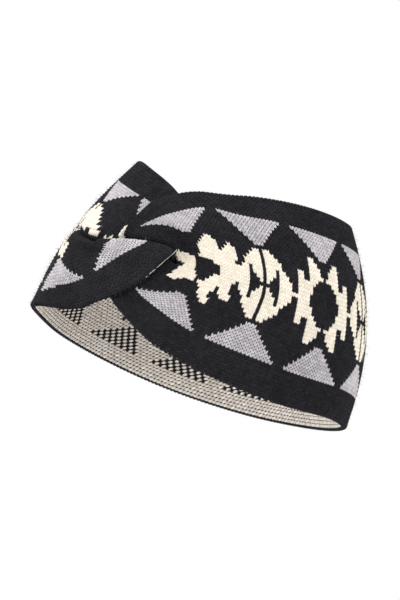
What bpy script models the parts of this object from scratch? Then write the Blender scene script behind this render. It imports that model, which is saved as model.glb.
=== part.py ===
"""Knit headband with a twisted front: one double-knit strip, worn round a head, its two ends crossed and sewn.

The band's axis is +Z, the twist faces -Y, and the origin is on the axis at the height of the lower rim.
Sizes are real ones, in centimetres in the tables and in metres in the meshes.
"""

import math

import bmesh
import bpy
from mathutils import Vector

CM = 0.01
WALL = 0.30  # thickness of the double knit
STRIP_WIDTH = 10.4  # across the strip at the twist, rim to rim
RIM_ROUND = 0.07  # how far a rim bulges past the strip's edge
MERIDIAN_BULGE = 2.22  # above 1, the band leaves the lower rim upright and leans in towards the upper rim

# The band round the head, every 30 degrees from the twist towards +X: radius and height of both rims
SECTION_STEP = 30
RIM_SECTIONS = (
    # lower radius, upper radius, lower height, upper height
    (9.16, 4.83, -0.62, 7.98),
    (8.96, 5.15, -1.60, 8.51),
    (8.83, 5.48, -1.36, 9.19),
    (9.02, 5.59, -0.33, 9.83),
    (8.84, 5.53, 0.38, 10.37),
    (8.49, 5.50, 0.70, 10.45),
    (8.24, 5.60, 0.74, 10.35),
    (8.06, 5.75, 0.67, 10.35),
    (7.95, 5.90, 0.58, 10.40),
    (8.00, 5.90, 0.40, 10.35),
    (8.24, 5.76, 0.19, 10.18),
    (8.99, 4.92, -0.17, 8.95),
)

# The twist. Each end is folded lengthwise into a lower and an upper layer, and the layers of the two ends
# alternate. The left end's table is for that end turned half a turn about the line that stands out from the
# twist's centre, which brings it onto the right end's side.
TWIST_ARC = 0.10  # the twist's centre, right of the band's front line
LAYER_PITCH = 0.40  # from one tucked layer to the next, where they turn in
SEAM_PITCH = 0.48  # and at the raw ends, where the band's curve brings them closer
SEAM_DEPTH = 1.35  # how far in the raw ends lie
OUTER_TUCK, INNER_TUCK = 1.40, 0.85  # how far the rims of the overlapping and hidden layers pass the centre
FOLD_HALF = 0.06  # half of the strip's width that goes round the fold, as a share
FOLD_GAP = 0.46  # between an end's own two layers, middle to middle, where the other end isn't between them
CLOSING_START, CLOSING_END = 1.5, 2.1  # arcs where they close up
OUTER_DEPTH = 0.19  # middle of the overlapping layer, out from the band's face
INNER_DEPTH = -0.21  # middle of the layer behind it
OUTER_BEND = 0.34  # radius where the overlapping layer turns in
INNER_BEND = 0.26
REST_DEPTH = -WALL / 2  # middle of the strip where nothing overlaps
FOLD_BEND = 0.45  # share of that radius that is left at the fold
CREST = 0.26  # how far the tuck's line arches up, right of the centre
CREST_ARC = 1.70  # where the arch ends
SAG = 0.94  # how far it sinks to the left
SAG_ARC = 3.0  # where it has sunk

# Lengthwise threads, from the twist outwards: share of the strip's width, then arc and height from the
# twist's centre in cm and the depth of the strip's middle, in front, near, mid and far
RIGHT_THREADS = (
    (0.00, ((-0.45, -3.90, -0.21), (1.90, -5.10, -0.18), (4.20, -5.20, -0.15), (6.90, -5.20, -0.15))),
    (0.16, ((0.45, -2.90, -0.21), (2.25, -3.40, -0.18), (4.06, -3.60, -0.15), (6.53, -3.54, -0.15))),
    (0.33, ((1.30, -1.75, -0.21), (2.70, -1.85, -0.18), (4.20, -1.80, -0.15), (6.30, -1.77, -0.15))),
    (0.50, ((2.10, 0.00, -0.50), (2.55, 0.00, -0.30), (3.60, 0.00, -0.18), (5.60, 0.00, -0.15))),
    (0.67, ((0.80, 1.15, 0.19), (1.45, 1.50, 0.16), (2.50, 1.78, 0.00), (4.60, 1.77, -0.15))),
    (0.84, ((-0.45, 1.45, 0.19), (0.05, 2.30, 0.19), (1.00, 3.62, 0.10), (3.03, 3.54, -0.15))),
    (1.00, ((-1.42, 1.55, 0.19), (-1.22, 2.90, 0.19), (0.00, 4.72, 0.14), (2.20, 5.20, -0.15))),
)
LEFT_THREADS = (
    (0.00, ((-0.50, -3.10, -0.21), (1.10, -4.25, -0.18), (2.90, -4.50, -0.15), (4.80, -4.50, -0.15))),
    (0.16, ((0.60, -2.10, -0.21), (1.60, -2.75, -0.18), (3.20, -2.85, -0.15), (5.20, -3.00, -0.15))),
    (0.33, ((2.00, -1.30, -0.21), (2.70, -1.50, -0.20), (3.90, -1.45, -0.15), (5.80, -1.40, -0.15))),
    (0.44, ((3.35, 0.40, -0.26), (4.00, 0.42, -0.24), (5.00, 0.35, -0.22), (6.30, 0.05, -0.18))),
    (0.50, ((3.70, 0.85, -1.05), (4.30, 0.87, -0.85), (5.20, 0.75, -0.60), (6.60, 0.40, -0.30))),
    (0.56, ((3.30, 1.40, -0.05), (4.00, 1.35, -0.08), (5.00, 1.20, -0.10), (6.40, 0.75, -0.15))),
    (0.61, ((2.90, 1.72, 0.17), (3.60, 1.70, 0.12), (4.80, 1.55, 0.02), (6.40, 1.20, -0.12))),
    (0.67, ((2.40, 1.95, 0.19), (3.10, 2.05, 0.16), (4.60, 2.05, 0.03), (6.50, 1.95, -0.15))),
    (0.84, ((0.80, 1.30, 0.19), (1.40, 2.25, 0.19), (2.50, 3.60, 0.05), (5.00, 4.10, -0.15))),
    (1.00, ((-1.14, 1.42, 0.19), (-0.72, 2.85, 0.19), (0.75, 4.55, 0.12), (3.20, 5.65, -0.12))),
)
# Angles where an end has become plain band, where its lengthwise fold starts, how strongly its width is
# gathered towards the rim (1 is evenly), the depth of its fold where it leaves the tuck, and the share of
# the width over which the fold opens
RIGHT_END = {
    "turned": False,
    "ring_angles": (62, 87),
    "threads": RIGHT_THREADS,
    "fold_arc": 1.60,
    "gather": 2.0,
    "fold_depth": -0.55,
    "opening": 0.13,
}
LEFT_END = {
    "turned": True,
    "ring_angles": (290, 265),
    "threads": LEFT_THREADS,
    "fold_arc": 3.00,
    "gather": 1.0,
    "fold_depth": -1.05,
    "opening": 0.09,
}

# How finely the strip is meshed
ACROSS_HALF = (0, 0.05, 0.12, 0.20, 0.28, 0.35, 0.41, 0.44, 0.47)  # shares of the width
ACROSS = ACROSS_HALF + (0.50,) + tuple(1 - share for share in reversed(ACROSS_HALF))
ROWS_BETWEEN = (1, 1, 2, 2, 2, 3, 3, 4, 6)  # rows from one station of an end to the next, seam first
RING_ROWS = 40  # rows of the plain band
RING_STATIONS = 10
TOP_DROP_START, TOP_DROP_END = 200, 290  # degrees between which the upper rim sinks towards the left end
TOP_DROP = 0.07  # and by how much, as a share of the width
SMOOTHING = (0.3, 3)  # strength and rounds of the smoothing over the folds
STIFF_ROWS = 2  # rows at the raw ends that it leaves alone

# The seam that binds the four layers
SEAM_GAP = 0.03
SEAM_THICK = 0.38
SEAM_LENGTH = 5.6
SEAM_ARC = -0.70  # the seam's middle, from the twist's centre
SEAM_HEIGHT = 2.0
SEAM_ROUND = 0.12
SEAM_CUTS = 8  # along its length, so that it can follow the band's curve

BAND_COLOUR = (0.022, 0.021, 0.026, 1)
SEAM_COLOUR = (0.62, 0.56, 0.47, 1)
KNIT_ROUGHNESS = 0.95
SHARP_DEGREES = 50  # edges turning more than this are shaded sharp


def catmull(before, start, end, after, share):
    """A smooth curve from start to end, at this share of the way."""
    return 0.5 * (
        2 * start
        + (end - before) * share
        + (2 * before - 5 * start + 4 * end - after) * share**2
        + (3 * start - before - 3 * end + after) * share**3
    )


def along(points, place):
    """The point at this place on a smooth curve through the points, where place counts them from 0."""
    last = len(points) - 1
    start = min(int(place), last - 1)
    near = [points[min(max(start + step, 0), last)] for step in (-1, 0, 1, 2)]
    if start == 0:
        near[0] = 2 * points[0] - points[1]
    if start == last - 1:
        near[3] = 2 * points[last] - points[last - 1]
    return catmull(*near, place - start)


def rim_section(degrees):
    place = (degrees % 360) / SECTION_STEP
    start = int(place)
    near = [Vector(RIM_SECTIONS[(start + step) % len(RIM_SECTIONS)]) for step in (-1, 0, 1, 2)]
    return catmull(*near, place - start)


def face_point(degrees, share):
    """A point on the band's outer face, where share runs from the lower rim to the upper."""
    lower_radius, upper_radius, lower_height, upper_height = rim_section(degrees)
    radius = lower_radius + (upper_radius - lower_radius) * max(share, 0) ** MERIDIAN_BULGE
    height = lower_height + (upper_height - lower_height) * share
    angle = math.radians(degrees)
    return Vector((radius * math.sin(angle), -radius * math.cos(angle), height))


def face_normal(degrees, share):
    step = 0.5
    rise = 0.01
    low = min(max(share, rise), 1 - rise)
    round_way = face_point(degrees + step, low) - face_point(degrees - step, low)
    up_way = face_point(degrees, low + rise) - face_point(degrees, low - rise)
    return round_way.cross(up_way).normalized()


def angle_at(arc, share):
    """The angle in degrees that this arc in cm reaches from the front, at this height of the band."""
    step = math.copysign(1.0, arc)
    walked = 0.0
    degrees = 0.0
    while True:
        length = (face_point(degrees + step, share) - face_point(degrees, share)).length
        if walked + length >= abs(arc):
            return degrees + step * (abs(arc) - walked) / length
        walked += length
        degrees += step


def smooth_step(value):
    value = max(0.0, min(1.0, value))
    return value * value * (3 - 2 * value)


def tuck_height(arc):
    """The height of the line where the two ends meet and turn in."""
    if arc < 0:
        return -SAG * smooth_step(-arc / SAG_ARC)
    return CREST * math.sin(math.pi * min(arc / CREST_ARC, 1))


def tucked_arc(end, share):
    """Where a thread at this share of the strip's width enters the tuck, from the twist's centre."""
    from_fold = max(0.0, (abs(share - 0.5) - FOLD_HALF) / (0.5 - FOLD_HALF))
    reach = 1 - (1 - min(from_fold, 1)) ** end["gather"]
    return end["fold_arc"] - (end["fold_arc"] + (OUTER_TUCK if share > 0.5 else INNER_TUCK)) * reach


def lip(end, share):
    """Stations of one thread from its raw end to where it has turned onto the band's face."""
    upper = share > 0.5
    side = math.sin(max(-1.0, min(1.0, (share - 0.5) / FOLD_HALF)) * math.pi / 2)
    arc = tucked_arc(end, share)
    closed = smooth_step((arc - CLOSING_START) / (CLOSING_END - CLOSING_START))
    reach = arc + FOLD_GAP / 2 * math.sqrt(1 - side * side)
    middle = -tuck_height(-reach) if end["turned"] else tuck_height(reach)
    openness = smooth_step(abs(share - 0.5) / end["opening"])
    out = (OUTER_DEPTH if upper else INNER_DEPTH) * openness + end["fold_depth"] * (1 - openness)
    radius = (OUTER_BEND if upper else INNER_BEND) * (FOLD_BEND + (1 - FOLD_BEND) * openness)
    halfway = (min(out - radius, REST_DEPTH) - SEAM_DEPTH) / 2
    places = [(-SEAM_DEPTH, SEAM_PITCH, 0), (halfway, (SEAM_PITCH + LAYER_PITCH) / 2, 0)]
    for bend in (0, math.pi / 4, math.pi / 2):
        places.append((out - radius + radius * math.sin(bend), LAYER_PITCH, radius * (1 - math.cos(bend))))
    points = []
    for depth, pitch, lifted in places:
        apart = 2 * pitch + (FOLD_GAP - 2 * pitch) * closed
        points.append(Vector((reach, middle + pitch / 2 + (side - 1) * apart / 2 + side * lifted, depth)))
    return points


def ring_point(degrees, share):
    """A point of the plain band: its angle, its share of the band's height, and its depth."""
    sunk = smooth_step((degrees - TOP_DROP_START) / (TOP_DROP_END - TOP_DROP_START))
    return Vector((degrees, share * (1 - TOP_DROP * sunk), REST_DEPTH))


def thread_stations(end, share):
    """Stations of one lengthwise thread of this end, from its raw end to the plain band."""
    shares = [row[0] for row in end["threads"]]
    place = len(shares) - 1.0
    for index in range(len(shares) - 1):
        if share <= shares[index + 1]:
            place = index + (share - shares[index]) / (shares[index + 1] - shares[index])
            break
    outside = [along([Vector(row[1][station]) for row in end["threads"]], place) for station in range(4)]
    stations = [placed(point, end["turned"]) for point in lip(end, share) + outside]
    plain = [ring_point(degrees, 1 - share if end["turned"] else share) for degrees in end["ring_angles"]]
    return stations + plain


def placed(point, turned):
    """A point of the twist, on the right end or turned half round onto the left one, in the band's frame."""
    arc, height, depth = point
    if turned:
        arc, height = -arc, -height
    share = 0.5 + height / STRIP_WIDTH
    degrees = angle_at(arc + TWIST_ARC, share)
    return Vector((degrees + (360 if turned else 0), share, depth))


def in_space(point):
    degrees, share, depth = point
    return face_point(degrees, share) + face_normal(degrees, share) * depth


def end_rows(end):
    """The rows of one end, from the raw edge outwards, each a list of points across the strip."""
    threads = [thread_stations(end, 1 - share if end["turned"] else share) for share in ACROSS]
    rows = []
    for station, count in enumerate(ROWS_BETWEEN):
        for step in range(count):
            rows.append([along(thread, station + step / count) for thread in threads])
    return rows, [thread[-3] for thread in threads]


def ring_rows(before, after):
    """The rows of the plain band. The rows before and after it only steer its ends."""
    start, end = RIGHT_END["ring_angles"][0], LEFT_END["ring_angles"][0]
    guides = [before]
    for index in range(RING_STATIONS):
        degrees = start + (end - start) * index / (RING_STATIONS - 1)
        guides.append([ring_point(degrees, share) for share in ACROSS])
    guides.append(after)
    rows = []
    for step in range(RING_ROWS + 1):
        place = 1 + (RING_STATIONS - 1) * step / RING_ROWS
        rows.append([along([row[column] for row in guides], place) for column in range(len(ACROSS))])
    return rows


def smoothed(grid):
    """The grid with its folds eased, all but the rims and the raw ends."""
    strength, rounds = SMOOTHING
    for _ in range(rounds):
        eased = [list(row) for row in grid]
        for row in range(STIFF_ROWS, len(grid) - STIFF_ROWS):
            for column in range(1, len(ACROSS) - 1):
                lengthwise = grid[row - 1][column] + grid[row + 1][column]
                crosswise = grid[row][column - 1] + grid[row][column + 1]
                eased[row][column] = grid[row][column].lerp((lengthwise + crosswise) / 4, strength)
        grid = eased
    return grid


def strip_grid():
    """Points on the strip's middle surface, from the right end round the head to the left end."""
    right_rows, right_last = end_rows(RIGHT_END)
    left_rows, left_last = end_rows(LEFT_END)
    rows = right_rows + ring_rows(right_last, left_last) + list(reversed(left_rows))
    return smoothed([[in_space(point) for point in row] for row in rows])


def grid_normal(grid, row, column):
    before, after = grid[max(row - 1, 0)][column], grid[min(row + 1, len(grid) - 1)][column]
    below, above = grid[row][max(column - 1, 0)], grid[row][min(column + 1, len(ACROSS) - 1)]
    return (after - before).cross(above - below).normalized()


def section_loop(grid, row):
    """The strip's closed section at one row: up its outer face, round the upper rim and down its inner face."""
    columns = range(len(ACROSS))
    normals = [grid_normal(grid, row, column) for column in columns]
    line = grid[row]
    outer = [line[column] + normals[column] * WALL / 2 for column in columns]
    inner = [line[column] - normals[column] * WALL / 2 for column in columns]
    upper_rim = line[-1] + (line[-1] - line[-2]).normalized() * RIM_ROUND
    lower_rim = line[0] + (line[0] - line[1]).normalized() * RIM_ROUND
    return outer + [upper_rim] + list(reversed(inner)) + [lower_rim]


def cap(mesh, loop, facing_back):
    """Closes a raw end: the section's outer and inner points are joined across the wall."""
    count = len(ACROSS)
    faces = []
    for column in range(count - 1):
        faces.append((loop[column], loop[column + 1], loop[2 * count - 1 - column], loop[2 * count - column]))
    faces.append((loop[count - 1], loop[count], loop[count + 1]))
    faces.append((loop[0], loop[2 * count], loop[2 * count + 1]))
    for face in faces:
        mesh.faces.new(face if facing_back else tuple(reversed(face)))


def knit_material(name, colour):
    material = bpy.data.materials.new(name)
    material.use_nodes = True
    shader = material.node_tree.nodes["Principled BSDF"]
    shader.inputs["Base Color"].default_value = colour
    shader.inputs["Roughness"].default_value = KNIT_ROUGHNESS
    shader.inputs["Metallic"].default_value = 0.0
    return material


def add_object(name, mesh, material):
    """Puts a bmesh in the scene as a smooth-shaded object."""
    bmesh.ops.recalc_face_normals(mesh, faces=mesh.faces)
    data = bpy.data.meshes.new(name)
    mesh.to_mesh(data)
    mesh.free()
    data.shade_smooth()
    data.set_sharp_from_angle(angle=math.radians(SHARP_DEGREES))
    data.materials.append(material)
    new_object = bpy.data.objects.new(name, data)
    bpy.context.scene.collection.objects.link(new_object)
    return new_object


def make_knit_band():
    grid = strip_grid()
    mesh = bmesh.new()
    loops = []
    for row in range(len(grid)):
        loops.append([mesh.verts.new(point * CM) for point in section_loop(grid, row)])
    size = len(loops[0])
    for first, second in zip(loops, loops[1:]):
        for index in range(size):
            following = (index + 1) % size
            mesh.faces.new((first[index], second[index], second[following], first[following]))
    cap(mesh, loops[0], True)
    cap(mesh, loops[-1], False)
    return add_object("knit_band", mesh, knit_material("knit", BAND_COLOUR))


def make_twist_seam():
    """The seam lies along the raw ends, inside the twist, and follows the band's curve."""
    front = -SEAM_DEPTH - SEAM_GAP
    mesh = bmesh.new()
    bmesh.ops.create_cube(mesh, size=1)
    lengthwise = [edge for edge in mesh.edges if abs((edge.verts[0].co - edge.verts[1].co).x) > 0.5]
    bmesh.ops.subdivide_edges(mesh, edges=lengthwise, cuts=SEAM_CUTS, use_grid_fill=True)
    rounded = [edge for edge in mesh.edges if edge.calc_face_angle() > math.radians(45)]
    bmesh.ops.bevel(
        mesh, geom=rounded, offset=SEAM_ROUND, segments=2, profile=0.5, affect="EDGES", material=-1
    )
    for vertex in mesh.verts:
        arc = SEAM_ARC + vertex.co.x * SEAM_LENGTH
        height = tuck_height(arc) + vertex.co.y * SEAM_HEIGHT
        depth = front + (vertex.co.z - 0.5) * SEAM_THICK
        vertex.co = in_space(placed((arc, height, depth), False)) * CM
    return add_object("twist_seam", mesh, knit_material("seam thread", SEAM_COLOUR))


def clear_scene():
    for old in list(bpy.data.objects):
        bpy.data.objects.remove(old, do_unlink=True)


clear_scene()
make_knit_band()
make_twist_seam()
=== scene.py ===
import math

import bmesh
import bpy
import numpy as np
from mathutils import Matrix, Vector


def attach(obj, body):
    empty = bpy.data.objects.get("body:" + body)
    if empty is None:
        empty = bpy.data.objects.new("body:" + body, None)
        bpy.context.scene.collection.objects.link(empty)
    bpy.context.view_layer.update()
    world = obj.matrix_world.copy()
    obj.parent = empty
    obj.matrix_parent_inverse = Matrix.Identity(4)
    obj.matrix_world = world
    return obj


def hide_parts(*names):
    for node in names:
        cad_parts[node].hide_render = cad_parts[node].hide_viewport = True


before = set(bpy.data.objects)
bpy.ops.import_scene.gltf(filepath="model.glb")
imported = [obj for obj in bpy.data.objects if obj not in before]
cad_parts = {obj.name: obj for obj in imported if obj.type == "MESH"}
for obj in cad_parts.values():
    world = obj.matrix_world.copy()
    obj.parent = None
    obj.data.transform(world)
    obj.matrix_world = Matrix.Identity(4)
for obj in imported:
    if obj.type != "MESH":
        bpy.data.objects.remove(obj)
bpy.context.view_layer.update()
print("frame loaded:", ", ".join(sorted(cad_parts)))

cm = 0.01  # the tables below are in centimetres

# The band round the head, every 30 degrees from the twist: lower and upper radius, lower and upper height
bandShape = {
    "step": 30,
    "sections": (
        (9.16, 4.83, -0.62, 7.98),
        (8.96, 5.15, -1.60, 8.51),
        (8.83, 5.48, -1.36, 9.19),
        (9.02, 5.59, -0.33, 9.83),
        (8.84, 5.53, 0.38, 10.37),
        (8.49, 5.50, 0.70, 10.45),
        (8.24, 5.60, 0.74, 10.35),
        (8.06, 5.75, 0.67, 10.35),
        (7.95, 5.90, 0.58, 10.40),
        (8.00, 5.90, 0.40, 10.35),
        (8.24, 5.76, 0.19, 10.18),
        (8.99, 4.92, -0.17, 8.95),
    ),
    "bulge": 2.22,
    "wall": 0.30,
    "stripWidth": 10.4,
    "restDepth": -0.15,
    "ringRows": 40,
    "ringStations": 10,
    "topDrop": (200, 290, 0.07),
    "smoothing": (0.3, 3),
    "stiffRows": 2,
}
acrossHalf = (0, 0.05, 0.12, 0.20, 0.28, 0.35, 0.41, 0.44, 0.47)
across = acrossHalf + (0.50,) + tuple(1 - share for share in reversed(acrossHalf))

# How the two folded ends turn into the twist
twistShape = {
    "arc": 0.10,
    "layerPitch": 0.40,
    "seamPitch": 0.48,
    "seamDepth": 1.35,
    "outerTuck": 1.40,
    "innerTuck": 0.85,
    "foldHalf": 0.06,
    "foldGap": 0.46,
    "closing": (1.5, 2.1),
    "outerDepth": 0.19,
    "innerDepth": -0.21,
    "outerBend": 0.34,
    "innerBend": 0.26,
    "foldBend": 0.45,
    "crest": 0.26,
    "crestArc": 1.70,
    "sag": 0.94,
    "sagArc": 3.0,
    "rowsBetween": (1, 1, 2, 2, 2, 3, 3, 4, 6),
}
# Lengthwise threads of each end: share of the width, then arc, height and depth at four stations
rightEnd = {
    "turned": False,
    "ringAngles": (62, 87),
    "foldArc": 1.60,
    "gather": 2.0,
    "foldDepth": -0.55,
    "opening": 0.13,
    "threads": (
        (0.00, ((-0.45, -3.90, -0.21), (1.90, -5.10, -0.18), (4.20, -5.20, -0.15), (6.90, -5.20, -0.15))),
        (0.16, ((0.45, -2.90, -0.21), (2.25, -3.40, -0.18), (4.06, -3.60, -0.15), (6.53, -3.54, -0.15))),
        (0.33, ((1.30, -1.75, -0.21), (2.70, -1.85, -0.18), (4.20, -1.80, -0.15), (6.30, -1.77, -0.15))),
        (0.50, ((2.10, 0.00, -0.50), (2.55, 0.00, -0.30), (3.60, 0.00, -0.18), (5.60, 0.00, -0.15))),
        (0.67, ((0.80, 1.15, 0.19), (1.45, 1.50, 0.16), (2.50, 1.78, 0.00), (4.60, 1.77, -0.15))),
        (0.84, ((-0.45, 1.45, 0.19), (0.05, 2.30, 0.19), (1.00, 3.62, 0.10), (3.03, 3.54, -0.15))),
        (1.00, ((-1.42, 1.55, 0.19), (-1.22, 2.90, 0.19), (0.00, 4.72, 0.14), (2.20, 5.20, -0.15))),
    ),
}
leftEnd = {
    "turned": True,
    "ringAngles": (290, 265),
    "foldArc": 3.00,
    "gather": 1.0,
    "foldDepth": -1.05,
    "opening": 0.09,
    "threads": (
        (0.00, ((-0.50, -3.10, -0.21), (1.10, -4.25, -0.18), (2.90, -4.50, -0.15), (4.80, -4.50, -0.15))),
        (0.16, ((0.60, -2.10, -0.21), (1.60, -2.75, -0.18), (3.20, -2.85, -0.15), (5.20, -3.00, -0.15))),
        (0.33, ((2.00, -1.30, -0.21), (2.70, -1.50, -0.20), (3.90, -1.45, -0.15), (5.80, -1.40, -0.15))),
        (0.44, ((3.35, 0.40, -0.26), (4.00, 0.42, -0.24), (5.00, 0.35, -0.22), (6.30, 0.05, -0.18))),
        (0.50, ((3.70, 0.85, -1.05), (4.30, 0.87, -0.85), (5.20, 0.75, -0.60), (6.60, 0.40, -0.30))),
        (0.56, ((3.30, 1.40, -0.05), (4.00, 1.35, -0.08), (5.00, 1.20, -0.10), (6.40, 0.75, -0.15))),
        (0.61, ((2.90, 1.72, 0.17), (3.60, 1.70, 0.12), (4.80, 1.55, 0.02), (6.40, 1.20, -0.12))),
        (0.67, ((2.40, 1.95, 0.19), (3.10, 2.05, 0.16), (4.60, 2.05, 0.03), (6.50, 1.95, -0.15))),
        (0.84, ((0.80, 1.30, 0.19), (1.40, 2.25, 0.19), (2.50, 3.60, 0.05), (5.00, 4.10, -0.15))),
        (1.00, ((-1.14, 1.42, 0.19), (-0.72, 2.85, 0.19), (0.75, 4.55, 0.12), (3.20, 5.65, -0.12))),
    ),
}


def catmull(before, start, end, after, share):
    return 0.5 * (
        2 * start
        + (end - before) * share
        + (2 * before - 5 * start + 4 * end - after) * share**2
        + (3 * start - before - 3 * end + after) * share**3
    )


def along(points, place):
    last = len(points) - 1
    start = min(int(place), last - 1)
    near = [points[min(max(start + step, 0), last)] for step in (-1, 0, 1, 2)]
    if start == 0:
        near[0] = 2 * points[0] - points[1]
    if start == last - 1:
        near[3] = 2 * points[last] - points[last - 1]
    return catmull(*near, place - start)


def facePoint(degrees, share):
    sections = bandShape["sections"]
    place = (degrees % 360) / bandShape["step"]
    start = int(place)
    near = [Vector(sections[(start + step) % len(sections)]) for step in (-1, 0, 1, 2)]
    lowRadius, highRadius, lowHeight, highHeight = catmull(*near, place - start)
    radius = lowRadius + (highRadius - lowRadius) * max(share, 0) ** bandShape["bulge"]
    angle = math.radians(degrees)
    height = lowHeight + (highHeight - lowHeight) * share
    return Vector((radius * math.sin(angle), -radius * math.cos(angle), height))


def faceNormal(degrees, share):
    turn, rise = 0.5, 0.01
    low = min(max(share, rise), 1 - rise)
    roundWay = facePoint(degrees + turn, low) - facePoint(degrees - turn, low)
    upWay = facePoint(degrees, low + rise) - facePoint(degrees, low - rise)
    return roundWay.cross(upWay).normalized()


def angleAt(arc, share):
    step = math.copysign(1.0, arc)
    walked = degrees = 0.0
    while True:
        length = (facePoint(degrees + step, share) - facePoint(degrees, share)).length
        if walked + length >= abs(arc):
            return degrees + step * (abs(arc) - walked) / length
        walked += length
        degrees += step


def smoothStep(value):
    value = max(0.0, min(1.0, value))
    return value * value * (3 - 2 * value)


def tuckHeight(arc):
    if arc < 0:
        return -twistShape["sag"] * smoothStep(-arc / twistShape["sagArc"])
    return twistShape["crest"] * math.sin(math.pi * min(arc / twistShape["crestArc"], 1))


def tuckedArc(end, share):
    half = twistShape["foldHalf"]
    fromFold = min(1.0, max(0.0, (abs(share - 0.5) - half) / (0.5 - half)))
    tuck = twistShape["outerTuck"] if share > 0.5 else twistShape["innerTuck"]
    return end["foldArc"] - (end["foldArc"] + tuck) * (1 - (1 - fromFold) ** end["gather"])


def lip(end, share):
    twist = twistShape
    upper = share > 0.5
    side = math.sin(max(-1.0, min(1.0, (share - 0.5) / twist["foldHalf"])) * math.pi / 2)
    arc = tuckedArc(end, share)
    closed = smoothStep((arc - twist["closing"][0]) / (twist["closing"][1] - twist["closing"][0]))
    reach = arc + twist["foldGap"] / 2 * math.sqrt(1 - side * side)
    middle = -tuckHeight(-reach) if end["turned"] else tuckHeight(reach)
    openness = smoothStep(abs(share - 0.5) / end["opening"])
    layerDepth, layerBend = twist["innerDepth"], twist["innerBend"]
    if upper:
        layerDepth, layerBend = twist["outerDepth"], twist["outerBend"]
    out = layerDepth * openness + end["foldDepth"] * (1 - openness)
    radius = layerBend * (twist["foldBend"] + (1 - twist["foldBend"]) * openness)
    halfway = (min(out - radius, bandShape["restDepth"]) - twist["seamDepth"]) / 2
    places = [
        (-twist["seamDepth"], twist["seamPitch"], 0),
        (halfway, (twist["seamPitch"] + twist["layerPitch"]) / 2, 0),
    ]
    for bend in (0, math.pi / 4, math.pi / 2):
        depth = out - radius + radius * math.sin(bend)
        places.append((depth, twist["layerPitch"], radius * (1 - math.cos(bend))))
    points = []
    for depth, pitch, lifted in places:
        apart = 2 * pitch + (twist["foldGap"] - 2 * pitch) * closed
        points.append(Vector((reach, middle + pitch / 2 + (side - 1) * apart / 2 + side * lifted, depth)))
    return points


def ringPoint(degrees, share):
    start, end, drop = bandShape["topDrop"]
    sunk = smoothStep((degrees - start) / (end - start))
    return Vector((degrees, share * (1 - drop * sunk), bandShape["restDepth"]))


def placed(point, turned):
    arc, height, depth = point
    if turned:
        arc, height = -arc, -height
    share = 0.5 + height / bandShape["stripWidth"]
    return Vector((angleAt(arc + twistShape["arc"], share) + (360 if turned else 0), share, depth))


def threadStations(end, share):
    shares = [row[0] for row in end["threads"]]
    place = len(shares) - 1.0
    for index in range(len(shares) - 1):
        if share <= shares[index + 1]:
            place = index + (share - shares[index]) / (shares[index + 1] - shares[index])
            break
    outside = [along([Vector(row[1][station]) for row in end["threads"]], place) for station in range(4)]
    stations = [placed(point, end["turned"]) for point in lip(end, share) + outside]
    plain = [ringPoint(degrees, 1 - share if end["turned"] else share) for degrees in end["ringAngles"]]
    return stations + plain


def endRows(end):
    threads = [threadStations(end, 1 - share if end["turned"] else share) for share in across]
    rows = []
    for station, count in enumerate(twistShape["rowsBetween"]):
        for step in range(count):
            rows.append([along(thread, station + step / count) for thread in threads])
    return rows, [thread[-3] for thread in threads]


def ringRows(before, after):
    start, end = rightEnd["ringAngles"][0], leftEnd["ringAngles"][0]
    stations = bandShape["ringStations"]
    guides = [before]
    for index in range(stations):
        degrees = start + (end - start) * index / (stations - 1)
        guides.append([ringPoint(degrees, share) for share in across])
    guides.append(after)
    rows = []
    for step in range(bandShape["ringRows"] + 1):
        place = 1 + (stations - 1) * step / bandShape["ringRows"]
        rows.append([along([row[column] for row in guides], place) for column in range(len(across))])
    return rows


def stripGrid():
    rightRows, rightLast = endRows(rightEnd)
    leftRows, leftLast = endRows(leftEnd)
    rows = rightRows + ringRows(rightLast, leftLast) + list(reversed(leftRows))
    grid = np.array(
        [[facePoint(d, s) + faceNormal(d, s) * depth for d, s, depth in row] for row in rows]
    )
    strength, rounds = bandShape["smoothing"]
    stiff = bandShape["stiffRows"]
    for _ in range(rounds):
        eased = grid.copy()
        middle = grid[stiff - 1 : -stiff - 1, 1:-1] + grid[stiff + 1 : len(grid) - stiff + 1, 1:-1]
        middle = (middle + grid[stiff:-stiff, :-2] + grid[stiff:-stiff, 2:]) / 4
        eased[stiff:-stiff, 1:-1] += (middle - grid[stiff:-stiff, 1:-1]) * strength
        grid = eased
    return grid


def edged(grid):
    grid = np.concatenate([2 * grid[:1] - grid[1:2], grid, 2 * grid[-1:] - grid[-2:-1]], axis=0)
    return np.concatenate([2 * grid[:, :1] - grid[:, 1:2], grid, 2 * grid[:, -1:] - grid[:, -2:-1]], axis=1)


sheetGrid = stripGrid()
sheetEdged = edged(sheetGrid)
lastRow = len(sheetGrid) - 1
print("strip laid out:", sheetGrid.shape)


def splineWeights(f):
    # what each of four neighbours counts, for the place and for the direction, a share f past the second
    f = np.asarray(f)
    values = (-f + 2 * f**2 - f**3, 2 - 5 * f**2 + 3 * f**3, f + 4 * f**2 - 3 * f**3, -(f**2) + f**3)
    slopes = (-1 + 4 * f - 3 * f**2, -10 * f + 9 * f**2, 1 + 8 * f - 9 * f**2, -2 * f + 3 * f**2)
    return 0.5 * np.array(values), 0.5 * np.array(slopes)


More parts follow.
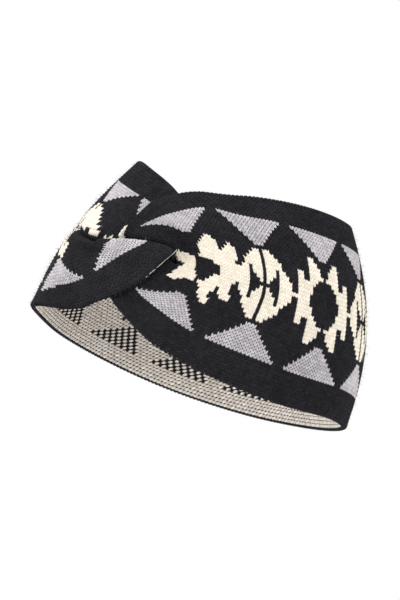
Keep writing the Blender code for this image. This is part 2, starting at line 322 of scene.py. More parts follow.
def sheetAt(row, share):
    # middle of the cloth, its outward normal and the direction across it, in centimetres
    row = np.clip(row, 0, lastRow)
    column = np.interp(share, across, np.arange(len(across)))
    i = np.clip(np.floor(row).astype(int), 0, lastRow - 1)
    j = np.clip(np.floor(column).astype(int), 0, len(across) - 2)
    rowValues, rowSlopes = splineWeights(row - i)
    columnValues, columnSlopes = splineWeights(column - j)
    point, lengthways, widthways = (np.zeros(np.shape(row) + (3,)) for _ in range(3))
    for a in range(4):
        for b in range(4):
            near = sheetEdged[i + a, j + b]
            point += near * (rowValues[a] * columnValues[b])[..., None]
            lengthways += near * (rowSlopes[a] * columnValues[b])[..., None]
            widthways += near * (rowValues[a] * columnSlopes[b])[..., None]
    normal = np.cross(lengthways, widthways)
    normal /= np.linalg.norm(normal, axis=-1, keepdims=True)
    widthways /= np.linalg.norm(widthways, axis=-1, keepdims=True)
    return point, normal, widthways


def smoothCurve(x, xs, ys):
    # through the points, straight on past the ends
    xs, ys = np.asarray(xs, float), np.asarray(ys, float)
    slopes = np.gradient(ys, xs)
    i = np.clip(np.searchsorted(xs, x) - 1, 0, len(xs) - 2)
    wide = xs[i + 1] - xs[i]
    f = (x - xs[i]) / wide
    inside = (
        (1 + 2 * f) * (1 - f) ** 2 * ys[i]
        + f * (1 - f) ** 2 * wide * slopes[i]
        + f**2 * (3 - 2 * f) * ys[i + 1]
        + f**2 * (f - 1) * wide * slopes[i + 1]
    )
    inside = np.where(x < xs[0], ys[0] + (x - xs[0]) * slopes[0], inside)
    return np.where(x > xs[-1], ys[-1] + (x - xs[-1]) * slopes[-1], inside)


# Where the columns of stitches run: for these wales, the arc along the cloth at seven shares of its width
knitLayout = {
    "courses": 53,
    "courseMarks": (0, 8, 16, 26.5, 37, 45, 53),
    "courseShares": {
        -8: (0, 0.15, 0.306, 0.505, 0.655, 0.832, 1),
        8: (0, 0.15, 0.306, 0.505, 0.665, 0.838, 1),
        26: (0, 0.15, 0.306, 0.518, 0.730, 0.872, 1),
        200: (0, 0.15, 0.306, 0.518, 0.730, 0.868, 1),
        216: (0, 0.118, 0.250, 0.500, 0.690, 0.834, 1),
        232: (0, 0.135, 0.300, 0.500, 0.690, 0.834, 1),
        244: (0, 0.140, 0.330, 0.520, 0.690, 0.834, 1),
    },
    "arcStart": 24,
    "shares": (0, 0.16, 0.31, 0.50, 0.69, 0.84, 1),
    "wales": {
        -12: (-10.35, -9.70, -8.85, -7.00, -8.80, -10.10, -11.10),
        0: (-7.90, -7.23, -6.47, -5.80, -6.90, -7.62, -8.50),
        20: (-3.10, -3.03, -2.85, -2.59, -3.00, -3.55, -4.10),
        40: (1.40, 1.28, 1.19, 1.04, 0.70, 0.23, -0.20),
        70: (8.10, 7.60, 7.10, 6.60, 5.90, 5.00, 4.00),
        130: (21.40, 20.20, 19.00, 17.80, 16.40, 14.70, 12.70),
        190: (34.50, 32.60, 30.90, 29.00, 26.90, 24.40, 21.40),
        220: (41.20, 39.05, 36.90, 34.50, 32.10, 29.35, 25.60),
        240: (46.40, 43.60, 41.10, 37.70, 36.80, 33.98, 30.00),
    },
    "firstWale": -30,
    "lastWale": 258,
    "spareWales": 3,
    "levels": 65,
    "samplesPerRow": 8,
}
levels = np.linspace(0, 1, knitLayout["levels"])
wales = np.arange(
    knitLayout["firstWale"] - knitLayout["spareWales"],
    knitLayout["lastWale"] + knitLayout["spareWales"] + 1,
)


def layWales():
    # for each wale and level, the place along the grid
    samples = knitLayout["samplesPerRow"]
    rows = np.linspace(0, lastRow, lastRow * samples + 1)
    table = np.zeros((len(wales), len(levels)))
    marks = sorted(knitLayout["wales"])
    for index, level in enumerate(levels):
        points = sheetAt(rows, np.full(rows.shape, level))[0]
        arcs = np.concatenate([[0], np.cumsum(np.linalg.norm(np.diff(points, axis=0), axis=1))])
        arcs -= arcs[knitLayout["arcStart"] * samples]
        level = np.array(level)
        targets = [smoothCurve(level, knitLayout["shares"], knitLayout["wales"][mark]) for mark in marks]
        reached = smoothCurve(wales, marks, targets)
        table[:, index] = np.interp(reached, arcs, rows, left=-1, right=lastRow + 1)
    return table


waleTable = layWales()


def rowOf(wale, share):
    x = np.clip(wale - wales[0], 0, len(wales) - 1.001)
    y = np.clip(share, 0, 1) * (len(levels) - 1.001)
    i, j = x.astype(int), y.astype(int)
    fx, fy = x - i, y - j
    low = waleTable[i, j] * (1 - fx) + waleTable[i + 1, j] * fx
    high = waleTable[i, j + 1] * (1 - fx) + waleTable[i + 1, j + 1] * fx
    return low * (1 - fy) + high * fy


def shareOf(wale, course):
    marks = np.asarray(knitLayout["courseMarks"], float)
    table = knitLayout["courseShares"]
    atMarks = [np.interp(wale, list(table), shares) for shares in zip(*table.values())]
    start = np.clip(np.searchsorted(marks, course, side="right") - 1, 0, len(marks) - 2)
    low, high = np.choose(start, atMarks[:-1]), np.choose(start, atMarks[1:])
    return low + (high - low) * (course - marks[start]) / (marks[start + 1] - marks[start])


# Height of a course that goes round the rim, and how far the rim stands out
rimWrap = {"height": 0.20, "bulge": 0.10}


def onCloth(wale, course, lift, side=1):
    # stitch coordinates to metres; lift counts from the middle of the cloth, side -1 is the inner face
    inside = np.clip(course, 0, knitLayout["courses"])
    share = shareOf(wale, inside)
    point, normal, widthways = sheetAt(rowOf(wale, share), share)
    past = course - inside
    turn = np.abs(past) * rimWrap["height"] / (bandShape["wall"] / 2)
    outward = widthways * np.sign(past)[:, None]
    place = point + normal * (side * np.cos(turn) * lift)[:, None]
    beside = np.sin(turn) * (lift - bandShape["wall"] / 2 + rimWrap["bulge"])
    return (place + outward * beside[:, None]) * cm


# The chart: black ground, grey triangles in from both borders and two cream figures in turn down the middle
chart = {
    "border": 8,
    "triangle": 8,
    "spacing": 20,
    "middle": 26,
    # cream columns, counted out from a figure's centre line, for each course up or down from the middle
    "diamond": {
        0: ((6, 10),),
        1: ((6, 9),),
        2: ((5, 9),),
        3: ((5, 9),),
        4: ((4, 9),),
        5: ((3, 5), (8, 9)),
        6: ((1, 5), (8, 9)),
        7: ((2, 5),),
        8: ((2, 5),),
        9: ((3, 5),),
        10: ((4, 5),),
    },
    "leaves": {
        0: ((5, 10),),
        1: ((1, 1), (5, 8)),
        2: ((1, 2), (5, 8)),
        3: ((1, 3), (5, 7)),
        4: ((1, 3), (5, 6)),
        5: ((1, 5),),
        6: ((1, 5),),
        7: ((1, 4),),
        8: ((1, 3),),
        9: ((1, 2),),
    },
    # where the twist gathers the cloth, its cream and grey from one wale to another
    "rightTipBefore": 13,
    "rightTip": {
        36: ((5, 6),),
        35: ((4, 7), (11, 11)),
        34: ((3, 7), (10, 12)),
        33: ((2, 7), (9, 12)),
        32: ((1, 12),),
        31: ((1, 12),),
        30: ((-11, -10), (1, 11)),
        29: ((-11, -5), (0, 12)),
        28: ((-11, -3), (5, 12)),
        27: ((-11, -3), (7, 12)),
        26: ((-10, -3), (7, 12)),
        25: ((-8, -3), (7, 12)),
        24: ((-8, -3), (5, 11)),
        23: ((-9, -2), (4, 10)),
        22: ((-8, -1), (3, 10)),
        21: ((-8, -1), (1, 6), (8, 10)),
        20: ((-7, -4), (2, 6), (8, 11)),
        19: ((-7, -5), (3, 5), (9, 11)),
        18: ((3, 5),),
        17: ((4, 6),),
        16: ((5, 6),),
    },
    "leftFoldFrom": 222,
    "leftFold": {
        37: ((241, 242),),
        36: ((238, 242),),
        35: ((241, 242),),
        34: ((222, 224),),
        33: ((218, 226), (240, 241)),
        32: ((220, 228), (240, 241)),
        31: ((220, 230), (240, 241)),
        30: ((221, 233), (239, 241)),
        29: ((222, 227), (231, 235)),
        28: ((219, 221),),
        19: ((222, 225),),
        18: ((220, 224),),
        17: ((219, 223),),
        16: ((221, 222),),
    },
    "leftGrey": {
        44: ((231, 248),),
        43: ((231, 248),),
        42: ((232, 247),),
        41: ((232, 246),),
        40: ((233, 245),),
        39: ((233, 244),),
        38: ((234, 242),),
        7: ((212, 218),),
        6: ((211, 214),),
        5: ((210, 211),),
    },
}


def yarnOf(wale, course):
    # 0 charcoal, 1 grey, 2 cream
    wale, course = np.asarray(wale), np.asarray(course)
    yarn = np.zeros(np.broadcast(wale, course).shape, int)
    centre = np.round(wale / chart["spacing"]).astype(int)
    column = np.abs(wale - centre * chart["spacing"])
    height = np.minimum(course, knitLayout["courses"] - 1 - course) - chart["border"]
    inTriangle = (height >= 0) & (height < chart["triangle"]) & (column <= chart["triangle"] - height)
    yarn[inTriangle] = 1
    offset = course - chart["middle"]
    plain = (wale >= chart["rightTipBefore"]) & (wale < chart["leftFoldFrom"])
    for odd, figure in enumerate((chart["diamond"], chart["leaves"])):
        ours = plain & (centre % 2 == odd)
        for rise, spans in figure.items():
            for low, high in spans:
                yarn[ours & (abs(offset) == rise) & (column >= low) & (column <= high)] = 2
    for kind, gathered in ((1, chart["leftGrey"]), (2, chart["rightTip"]), (2, chart["leftFold"])):
        for line, spans in gathered.items():
            for low, high in spans:
                yarn[(course == line) & (wale >= low) & (wale <= high)] = kind
    return yarn


def addGroup(name, inputs, outputs):
    group = bpy.data.node_groups.new(name, "ShaderNodeTree")
    for label, kind, value in inputs:
        socket = group.interface.new_socket(label, in_out="INPUT", socket_type=kind)
        socket.default_value = value
    for label, kind in outputs:
        group.interface.new_socket(label, in_out="OUTPUT", socket_type=kind)
    return group, group.nodes.new("NodeGroupInput"), group.nodes.new("NodeGroupOutput")


def addNode(tree, kind, inputs=(), **settings):
    node = tree.nodes.new(kind)
    for key, value in settings.items():
        setattr(node, key, value)
    for key, value in dict(inputs).items():
        if isinstance(value, bpy.types.NodeSocket):
            tree.links.new(value, node.inputs[key])
        else:
            node.inputs[key].default_value = value
    return node


wool = {
    "fibreScale": 2600.0,
    "fibreDetail": 3.0,
    "fibreRoughness": 0.6,
    "fibreShows": (0.50, 0.68),  # the noise at which a fibre starts to show, and is full
    "fibreHeight": 0.6,
    "blotchScale": 55.0,
    "blotchDetail": 2.0,
    "plyScale": 1.2,
    "plyDistortion": 1.5,
    "plyDetail": 1.0,
    "relief": 0.0002,
    "specular": 0.25,
    "sheenRoughness": 0.5,
}


def makeWoolGroup():
    # colour and height of hairy spun yarn: soft blotches, single fibres and the ply's twist
    group, entry, leave = addGroup(
        "spunYarn",
        (
            ("Colour", "NodeSocketColor", (0.5, 0.5, 0.5, 1)),
            ("Fibre colour", "NodeSocketColor", (0.7, 0.7, 0.7, 1)),
            ("Fibre share", "NodeSocketFloat", 0.3),
            ("Unevenness", "NodeSocketFloat", 0.2),
        ),
        (("Colour", "NodeSocketColor"), ("Height", "NodeSocketFloat")),
    )
    place = addNode(group, "ShaderNodeTexCoord")
    tone = addNode(group, "ShaderNodeAttribute", attribute_name="stitchTone")
    fibres = addNode(
        group,
        "ShaderNodeTexNoise",
        {
            "Vector": place.outputs["Object"],
            "Scale": wool["fibreScale"],
            "Detail": wool["fibreDetail"],
            "Roughness": wool["fibreRoughness"],
        },
    )
    blotches = addNode(
        group,
        "ShaderNodeTexNoise",
        {"Vector": place.outputs["Object"], "Scale": wool["blotchScale"], "Detail": wool["blotchDetail"]},
    )
    ply = addNode(
        group,
        "ShaderNodeTexWave",
        {
            "Vector": place.outputs["UV"],
            "Scale": wool["plyScale"],
            "Distortion": wool["plyDistortion"],
            "Detail": wool["plyDetail"],
        },
        bands_direction="DIAGONAL",
    )
    starts, full = wool["fibreShows"]
    hairy = addNode(
        group, "ShaderNodeMapRange", {"Value": fibres.outputs["Fac"], "From Min": starts, "From Max": full}
    )
    hairyShare = addNode(
        group,
        "ShaderNodeMath",
        {0: hairy.outputs["Result"], 1: entry.outputs["Fibre share"]},
        operation="MULTIPLY",
    )
    mixed = addNode(
        group,
        "ShaderNodeMix",
        {"Factor": hairyShare.outputs[0], "A": entry.outputs["Colour"], "B": entry.outputs["Fibre colour"]},
        data_type="RGBA",
    )
    both = addNode(
        group, "ShaderNodeMath", {0: tone.outputs["Fac"], 1: blotches.outputs["Fac"]}, operation="ADD"
    )
    swing = addNode(group, "ShaderNodeMath", {0: both.outputs[0], 1: 1.0}, operation="SUBTRACT")
    swung = addNode(
        group,
        "ShaderNodeMath",
        {0: swing.outputs[0], 1: entry.outputs["Unevenness"], 2: 1.0},
        operation="MULTIPLY_ADD",
    )
    shaded = addNode(
        group, "ShaderNodeHueSaturation", {"Color": mixed.outputs["Result"], "Value": swung.outputs[0]}
    )
    group.links.new(shaded.outputs["Color"], leave.inputs["Colour"])
    height = addNode(
        group,
        "ShaderNodeMath",
        {0: fibres.outputs["Fac"], 1: wool["fibreHeight"], 2: ply.outputs["Fac"]},
        operation="MULTIPLY_ADD",
    )
    group.links.new(height.outputs[0], leave.inputs["Height"])
    return group


woolGroup = makeWoolGroup()


def makeYarn(name, look):
    material = bpy.data.materials.new(name)
    material.use_nodes = True
    tree = material.node_tree
    shader = tree.nodes["Principled BSDF"]
    spun = tree.nodes.new("ShaderNodeGroup")
    spun.node_tree = woolGroup
    spun.inputs["Colour"].default_value = look["colour"] + (1,)
    spun.inputs["Fibre colour"].default_value = look["fibre"] + (1,)
    spun.inputs["Fibre share"].default_value = look["fibreShare"]
    spun.inputs["Unevenness"].default_value = look["unevenness"]
    relief = addNode(
        tree,
        "ShaderNodeBump",
        {"Height": spun.outputs["Height"], "Strength": look["bump"], "Distance": wool["relief"]},
    )
    tree.links.new(spun.outputs["Colour"], shader.inputs["Base Color"])
    tree.links.new(relief.outputs["Normal"], shader.inputs["Normal"])
    shader.inputs["Roughness"].default_value = look["roughness"]
    shader.inputs["Specular IOR Level"].default_value = wool["specular"]
    shader.inputs["Sheen Weight"].default_value = look["sheen"]
    shader.inputs["Sheen Roughness"].default_value = wool["sheenRoughness"]
    shader.inputs["Sheen Tint"].default_value = look["fibre"] + (1,)
    return material


yarns = {
    "charcoalYarn": {
        "colour": (0.009, 0.009, 0.012),
        "fibre": (0.075, 0.072, 0.085),
        "fibreShare": 0.4,
        "unevenness": 0.7,
        "bump": 0.5,
        "roughness": 0.9,
        "sheen": 0.15,
    },
    "greyYarn": {
        "colour": (0.54, 0.51, 0.53),
        "fibre": (0.78, 0.76, 0.78),
        "fibreShare": 0.5,
        "unevenness": 0.3,
        "bump": 0.5,
        "roughness": 0.9,
        "sheen": 0.1,
    },
    "creamYarn": {
        "colour": (0.90, 0.83, 0.71),
        "fibre": (0.95, 0.91, 0.83),
        "fibreShare": 0.5,
        "unevenness": 0.16,
        "bump": 0.4,
        "roughness": 0.9,
        "sheen": 0.1,
    },
    "greyBehindAndCreamShade": {
        # the grey floats of the inner face, mixed with cream fibres; the cloth body also takes this colour as
        # painted shade where the face is cream
        "colour": (0.74, 0.68, 0.64),
        "fibre": (0.88, 0.83, 0.77),
        "fibreShare": 0.5,
        "unevenness": 0.25,
        "bump": 0.5,
        "roughness": 0.9,
        "sheen": 0.1,
    },
    "creamYarnBehind": {
        "colour": (0.90, 0.83, 0.75),
        "fibre": (0.95, 0.90, 0.84),
        "fibreShare": 0.5,
        "unevenness": 0.2,
        "bump": 0.4,
        "roughness": 0.9,
        "sheen": 0.1,
    },
}
yarnMaterials = [makeYarn(name, look) for name, look in yarns.items()]
print("yarns made:", ", ".join(yarns))

# One stitch is two slanted legs, and its back one bump that lies across. Apart and width are in wales, length
# in courses, slant in degrees, thick and lift in centimetres
stitch = {
    "sides": (-1, 1),
    "apart": 0.25,
    "width": 0.56,
    "length": 1.36,
    "thick": 0.13,
    "slant": 17,
    "lift": 0.105,
}
bump = {
    "sides": (0,),
    "apart": 0,
    "width": 1.25,
    "length": 1.1,
    "thick": 0.13,
    "slant": 8,
    "lift": 0.115,
}
legFacets = {"around": 4, "steps": 3}


def makeStitch(name, form):
    mesh = bmesh.new()
    mesh.loops.layers.uv.new("twist")
    for side in form["sides"]:
        leg = bmesh.ops.create_uvsphere(
            mesh, u_segments=legFacets["around"], v_segments=legFacets["steps"], radius=0.5, calc_uvs=True
        )["verts"]
        bmesh.ops.scale(mesh, vec=(form["width"], form["thick"], form["length"]), verts=leg)
        bmesh.ops.rotate(mesh, cent=(0, 0, 0), matrix=Matrix.Rotation(math.radians(-90), 3, "X"), verts=leg)
        slant = Matrix.Rotation(math.radians(-(side or 1) * form["slant"]), 3, "Z")
        bmesh.ops.rotate(mesh, cent=(0, 0, 0), matrix=slant, verts=leg)
        bmesh.ops.translate(mesh, vec=(side * form["apart"], 0.5, 0), verts=leg)
    data = bpy.data.meshes.new(name)
    mesh.to_mesh(data)
    mesh.free()
    data.shade_smooth()
    return data


def arrayed(name, data, columns, rows):
    # the stitch repeated along and across, as one mesh
    sample = bpy.data.objects.new(name, data)
    bpy.context.scene.collection.objects.link(sample)
    for label, count, step in (("wales", columns, (1, 0, 0)), ("courses", rows, (0, 1, 0))):
        array = sample.modifiers.new(label, "ARRAY")
        array.count = count
        array.use_relative_offset = False
        array.use_constant_offset = True
        array.constant_offset_displace = step
    bpy.context.view_layer.update()
    whole = bpy.data.meshes.new_from_object(sample.evaluated_get(bpy.context.evaluated_depsgraph_get()))
    bpy.data.objects.remove(sample)
    whole.name = name
    return whole


def readPoints(data):
    place = np.zeros(len(data.vertices) * 3, np.float32)
    data.vertices.foreach_get("co", place)
    return place.reshape(-1, 3).astype(float)


def writePoints(data, points):
    data.vertices.foreach_set("co", points.astype(np.float32).ravel())


def addPiece(name, data):
    piece = bpy.data.objects.new(name, data)
    bpy.context.scene.collection.objects.link(piece)
    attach(piece, "root")
    return piece


panelSeed = 100


def knitPanel(name, face, firstWale, waleCount, colouring):
    # a panel of stitches, laid on the cloth and coloured stitch by stitch
    form, side = face["form"], face["side"]
    courses = np.arange(-face["rimCourses"], knitLayout["courses"] + face["rimCourses"])
    single = makeStitch(name + "Stitch", form)
    data = arrayed(name, single, waleCount, len(courses))
    perStitch = len(single.vertices)
    count = waleCount * len(courses)
    index = np.arange(count)
    wale = firstWale + index % waleCount
    course = courses[index // waleCount]
    place = readPoints(data).reshape(count, perStitch, 3)
    localWale = place[..., 0] - (index % waleCount)[:, None]
    localCourse = place[..., 1] - (index // waleCount)[:, None]
    laid = onCloth(
        (localWale + wale[:, None]).ravel(),
        (localCourse + course[:, None]).ravel(),
        (place[..., 2] + form["lift"]).ravel(),
        side,
    )
    writePoints(data, laid)
    tone = np.random.default_rng(panelSeed + firstWale + side).random(count)
    attribute = data.attributes.new("stitchTone", "FLOAT", "POINT")
    attribute.data.foreach_set("value", np.repeat(tone, perStitch).astype(np.float32))
    for material in yarnMaterials:
        data.materials.append(material)
    yarn = colouring(wale, course)
    data.polygons.foreach_set("material_index", np.repeat(yarn, len(single.polygons)).astype(np.int32))
    middle = course + 0.5
    row = rowOf(wale.astype(float), shareOf(wale, np.clip(middle, 0, knitLayout["courses"])))
    hidden = (row <= face["insideRow"]) | (row >= lastRow - face["insideRow"])
    bpy.data.meshes.remove(single)
    if hidden.any():
        mesh = bmesh.new()
        mesh.from_mesh(data)
        mesh.verts.ensure_lookup_table()
        gone = [mesh.verts[i] for i in np.flatnonzero(np.repeat(hidden, perStitch))]
        bmesh.ops.delete(mesh, geom=gone, context="VERTS")
        mesh.to_mesh(data)
        mesh.free()
    if side < 0:
        data.flip_normals()
    data.update()
    piece = addPiece(name, data)
    triangles = sum(len(polygon.vertices) - 2 for polygon in data.polygons)
    print(name, "stitches", int((~hidden).sum()), "triangles", triangles)
    return piece


def makeFace(face, colouring):
    # the panels of one face, one after another along the strip
    first, last = knitLayout["firstWale"], knitLayout["lastWale"]
    names = face["names"]
    edges = [first + round((last - first) * index / len(names)) for index in range(len(names) + 1)]
    return [
        knitPanel(name, face, start, after - start, colouring)
        for name, start, after in zip(names, edges, edges[1:])
    ]


outerFace = {
    "names": ("knitFrontRight", "knitSideRight", "knitBack", "knitSideLeft", "knitFrontLeft"),
    "form": stitch,
    "side": 1,
    "rimCourses": 1,
    "insideRow": 2.5,  # no stitch nearer to a raw end, in rows of the grid
}
lining = {
    "names": ("liningRight", "liningLeft"),
    "form": bump,
    "side": -1,
    "rimCourses": 1,
    "insideRow": 8,
    "turns": ((4, 3), (4, 0), (3, 0)),  # behind charcoal, grey and cream: the two other yarns in turn
    "shift": (5, 3),  # wales along, and courses nearer to each rim, by which it shows behind the face
}


def outerYarn(wale, course):
    return yarnOf(wale, np.clip(course, 0, knitLayout["courses"] - 1))


def liningYarn(wale, course):
    last = knitLayout["courses"] - 1
    sideways, inwards = lining["shift"]
    behind = course + np.where(course < last / 2, inwards, -inwards)
    yarn = np.array(lining["turns"])[yarnOf(wale + sideways, behind), (wale + course) % 2]
    yarn[(course < 0) | (course > last)] = 0
    return yarn


backing = {"rowsPer": 5, "columnsPer": 5, "wall": 0.215}


def stitchAt(row, share):
    # the wale and course at a place on the cloth
    level = np.round(share * (len(levels) - 1)).astype(int)
    wale = np.zeros(len(row))
    for index in range(len(levels)):
        here = level == index
        wale[here] = np.interp(row[here], waleTable[:, index], wales)
    marks = knitLayout["courseMarks"]
    table = knitLayout["courseShares"]
    course = np.zeros(len(row))
    atMarks = [np.interp(wale, list(table), shares) for shares in zip(*table.values())]
    for index, (low, high) in enumerate(zip(atMarks, atMarks[1:])):
        course += np.clip((share - low) / (high - low), 0, 1) * (marks[index + 1] - marks[index])
    course = np.clip(np.floor(course), 0, knitLayout["courses"] - 1)
    return np.floor(wale + 0.5).astype(int), course.astype(int)


def makeBacking():
    # the body of the cloth under the stitches, closed all round: charcoal, with painted shade where the face
    # is cream (a darker warm grey for cream yarn in shade between the stitches), and charcoal inside,
    # darkening the gaps between the lining bumps as painted shade
    rowCount, columnCount = lastRow * backing["rowsPer"], (len(across) - 1) * backing["columnsPer"]
    mesh = bmesh.new()
    bmesh.ops.create_grid(mesh, x_segments=rowCount, y_segments=columnCount, size=0.5)
    data = bpy.data.meshes.new("clothBody")
    mesh.to_mesh(data)
    mesh.free()
    middles = np.zeros(len(data.polygons) * 3, np.float32)
    data.polygons.foreach_get("center", middles)
    middles = middles.reshape(-1, 3).astype(float)

    def onStrip(points):
        column = (points[:, 1] + 0.5) * (len(across) - 1)
        return (points[:, 0] + 0.5) * lastRow, np.interp(column, np.arange(len(across)), across)

    writePoints(data, sheetAt(*onStrip(readPoints(data)))[0] * cm)
    data.shade_smooth()
    # slots: charcoal outside, the darker warm grey as painted shade under cream, and charcoal for the inner
    # side
    for material in (yarnMaterials[0], yarnMaterials[3], yarnMaterials[0]):
        data.materials.append(material)
    # painted shade: where the face is cream, the body takes the darker warm grey, standing for cream yarn in
    # shade between the stitches
    paintedShadeUnderCream = yarnOf(*stitchAt(*onStrip(middles))) == 2
    data.polygons.foreach_set("material_index", paintedShadeUnderCream.astype(np.int32))
    data.update()
    piece = addPiece("clothBody", data)
    wall = piece.modifiers.new("wall", "SOLIDIFY")
    wall.thickness = backing["wall"] * cm
    wall.offset = 0
    wall.use_quality_normals = True
    # the inner side takes the third slot, charcoal, as painted shade in the gaps between the lining bumps
    wall.material_offset = 2
    return piece


def makeTube(sides, rootRadius, tipRadius, joints):
    # an upright tube, one unit high, with rings to bend it at
    mesh = bmesh.new()
    bmesh.ops.create_cone(
        mesh, cap_ends=True, segments=sides, radius1=rootRadius, radius2=tipRadius, depth=1
    )
    bmesh.ops.translate(mesh, vec=(0, 0, 0.5), verts=mesh.verts)
    for joint in range(1, joints):
        whole = mesh.verts[:] + mesh.edges[:] + mesh.faces[:]
        bmesh.ops.bisect_plane(mesh, geom=whole, plane_co=(0, 0, joint / joints), plane_no=(0, 0, 1))
    return mesh


looseThread = {
    # centimetres along the pale strand that floats across the twist
    "points": (
        (1.52, -7.96, 3.70),
        (1.52, -8.12, 3.46),
        (1.46, -8.19, 3.28),
        (1.39, -8.25, 3.09),
        (1.32, -8.32, 2.90),
        (1.29, -8.46, 2.66),
        (1.27, -8.62, 2.43),
        (1.27, -8.82, 2.18),
        (1.19, -8.95, 1.91),
        (1.12, -9.05, 1.65),
    ),
    "thick": 0.035,
    "sides": 5,
    "joints": 28,
    "near": 0.05,  # how far to either side its direction is taken
}


def makeLooseThread():
    radius = looseThread["thick"] / 2
    mesh = makeTube(looseThread["sides"], radius, radius, looseThread["joints"])
    path = [Vector(point) for point in looseThread["points"]]
    last = len(path) - 1
    near = looseThread["near"]
    for vert in mesh.verts:
        place = vert.co.z * last
        middle = along(path, place)
        ahead = along(path, min(place + near, last)) - along(path, max(place - near, 0))
        ahead.normalize()
        sideways = ahead.cross(Vector((0, 0, 1))).normalized()
        vert.co = (middle + sideways * vert.co.x + sideways.cross(ahead) * vert.co.y) * cm
    bmesh.ops.recalc_face_normals(mesh, faces=mesh.faces)
    data = bpy.data.meshes.new("looseThread")
    mesh.to_mesh(data)
    mesh.free()
    data.shade_smooth()
    data.materials.append(yarnMaterials[2])
    lengths = [(b - a).length for a, b in zip(path, path[1:])]
    print("loose thread, centimetres:", round(sum(lengths), 2))
    return addPiece("looseThread", data)


fuzz = {
    "names": ("charcoalFuzz", "greyFuzz", "creamFuzz"),
    "count": 5200,
    "seed": 11,
    "endWales": 2,  # left bare at both ends
    "length": (0.08, 0.24),
    "thick": 0.005,
    "taper": 0.3,
    "joints": 3,
    "lean": (0.2, 0.9),
    "curl": 0.5,
    "curlTilt": 0.3,
    "root": 0.16,
}


def makeFuzz(name, yarnIndex, seed):
    # stray hairs, each a thin tapered three-sided tube, stood on the cloth where its own yarn shows
    random = np.random.default_rng(seed)
    count = fuzz["count"]
    bare = fuzz["endWales"]
    wale = random.integers(knitLayout["firstWale"] + bare, knitLayout["lastWale"] - bare, count)
    course = random.integers(0, knitLayout["courses"], count)
    row = rowOf(wale.astype(float), shareOf(wale, course + 0.5))
    inside = outerFace["insideRow"]
    kept = (yarnOf(wale, course) == yarnIndex) & (row > inside) & (row < lastRow - inside)
    wale, course, row = wale[kept], course[kept], row[kept]
    count = len(wale)
    point, normal, widthways = sheetAt(row, shareOf(wale, course + 0.5))
    lengthways = np.cross(widthways, normal)
    turn = random.uniform(0, 2 * math.pi, count)
    sideways = lengthways * np.cos(turn)[:, None] + widthways * np.sin(turn)[:, None]
    lean = random.uniform(*fuzz["lean"], count)
    heading = normal + sideways * lean[:, None]
    heading /= np.linalg.norm(heading, axis=1, keepdims=True)
    bend = fuzz["curl"] * random.uniform(-1, 1, count)
    bow = np.cross(heading, normal + widthways * fuzz["curlTilt"]) * bend[:, None]
    length = random.uniform(*fuzz["length"], count)
    mesh = makeTube(3, 1, fuzz["taper"], fuzz["joints"])
    single = bpy.data.meshes.new(name + "Hair")
    mesh.to_mesh(single)
    mesh.free()
    data = arrayed(name, single, count, 1)
    perHair = len(single.vertices)
    bpy.data.meshes.remove(single)
    place = readPoints(data).reshape(count, perHair, 3)
    x, y, z = place[..., 0] - np.arange(count)[:, None], place[..., 1], place[..., 2]
    thick = fuzz["thick"]
    root = point + normal * fuzz["root"]
    laid = (
        root[:, None]
        + heading[:, None] * (z * length[:, None])[..., None]
        + bow[:, None] * (z**2 * length[:, None])[..., None]
        + sideways[:, None] * (x * thick)[..., None]
        + np.cross(heading, sideways)[:, None] * (y * thick)[..., None]
    )
    writePoints(data, laid * cm)
    data.materials.append(yarnMaterials[yarnIndex])
    data.update()
    print(name, "hairs", count)
    return addPiece(name, data)


clothBody = makeBacking()
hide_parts("knit_band")
panels = makeFace(outerFace, outerYarn) + makeFace(lining, liningYarn)
strand = makeLooseThread()
hairs = [makeFuzz(name, index, fuzz["seed"] + index) for index, name in enumerate(fuzz["names"])]

photoView = {
    "azimuth": 27.72,
    "elevation": -15.32,
    "roll": 21.8,
    "distance": 1.20,
    "target": (0, 0, 0.05),
    "pixelsPerMetre": 1936,
    "centre": (216.04, 283.28),
    "size": (400, 600),
    "sensor": 36,
}


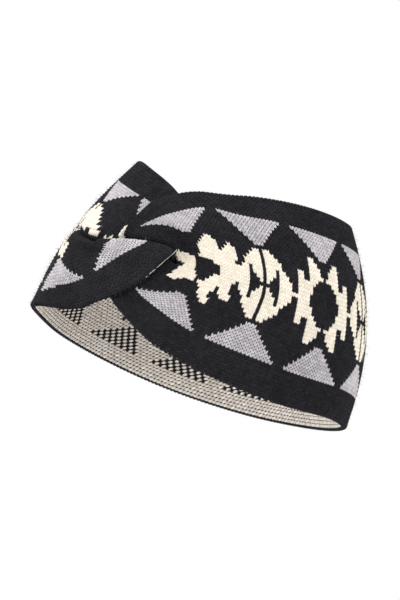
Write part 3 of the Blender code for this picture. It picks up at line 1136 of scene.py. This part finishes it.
def makeCamera():
    data = bpy.data.cameras.new("photoCamera")
    camera = bpy.data.objects.new("photoCamera", data)
    bpy.context.scene.collection.objects.link(camera)
    bpy.context.scene.camera = camera
    azimuth, elevation, roll = (math.radians(photoView[key]) for key in ("azimuth", "elevation", "roll"))
    back = Vector(
        (
            math.sin(azimuth) * math.cos(elevation),
            -math.cos(azimuth) * math.cos(elevation),
            math.sin(elevation),
        )
    )
    level = Vector((math.cos(azimuth), math.sin(azimuth), 0))
    upright = back.cross(level)
    right = level * math.cos(roll) + upright * math.sin(roll)
    up = upright * math.cos(roll) - level * math.sin(roll)
    turn = Matrix((right, up, back)).transposed().to_4x4()
    stand = Vector(photoView["target"]) + back * photoView["distance"]
    camera.matrix_world = Matrix.Translation(stand) @ turn
    wide, high = photoView["size"]
    data.sensor_fit = "VERTICAL"
    data.sensor_height = photoView["sensor"]
    data.lens = photoView["pixelsPerMetre"] * photoView["distance"] / high * photoView["sensor"]
    data.shift_x = -(photoView["centre"][0] - wide / 2) / high
    data.shift_y = (photoView["centre"][1] - high / 2) / high
    return camera


studio = {
    "floorHeight": -0.45,
    "floorSize": 6.0,
    "world": 1.0,
    "paper": (0.86, 0.86, 0.86),
    "paperRoughness": 0.9,
    "lights": (
        # name, place, aimed at, side, power
        ("keyLight", (-0.6, -1.2, 1.3), (0, 0, 0.05), 1.0, 11),
        ("fillLight", (1.4, -0.8, 0.2), (0, 0, 0.05), 1.2, 5),
        ("lowLight", (-0.4, -0.9, -0.35), (0, 0, 0.03), 0.8, 3),
    ),
}


def makeStudio():
    mesh = bmesh.new()
    bmesh.ops.create_grid(mesh, x_segments=1, y_segments=1, size=studio["floorSize"] / 2)
    bmesh.ops.translate(mesh, vec=(0, 0, studio["floorHeight"]), verts=mesh.verts)
    data = bpy.data.meshes.new("floor")
    mesh.to_mesh(data)
    mesh.free()
    material = bpy.data.materials.new("palePaper")
    material.use_nodes = True
    shader = material.node_tree.nodes["Principled BSDF"]
    shader.inputs["Base Color"].default_value = studio["paper"] + (1,)
    shader.inputs["Roughness"].default_value = studio["paperRoughness"]
    data.materials.append(material)
    floor = bpy.data.objects.new("floor", data)
    bpy.context.scene.collection.objects.link(floor)
    world = bpy.data.worlds.new("studioWorld")
    world.use_nodes = True
    world.node_tree.nodes["Background"].inputs["Color"].default_value = (1, 1, 1, 1)
    world.node_tree.nodes["Background"].inputs["Strength"].default_value = studio["world"]
    bpy.context.scene.world = world
    for name, place, target, side, power in studio["lights"]:
        light = bpy.data.lights.new(name, "AREA")
        light.size = side
        light.energy = power
        lamp = bpy.data.objects.new(name, light)
        bpy.context.scene.collection.objects.link(lamp)
        lamp.location = place
        lamp.rotation_euler = (Vector(place) - Vector(target)).to_track_quat("Z", "Y").to_euler()
    bpy.context.scene.view_settings.view_transform = "Standard"


makeCamera()
makeStudio()
print("camera and studio set")

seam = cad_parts["twist_seam"]
seam.data.materials.clear()
seam.data.materials.append(yarnMaterials[0])
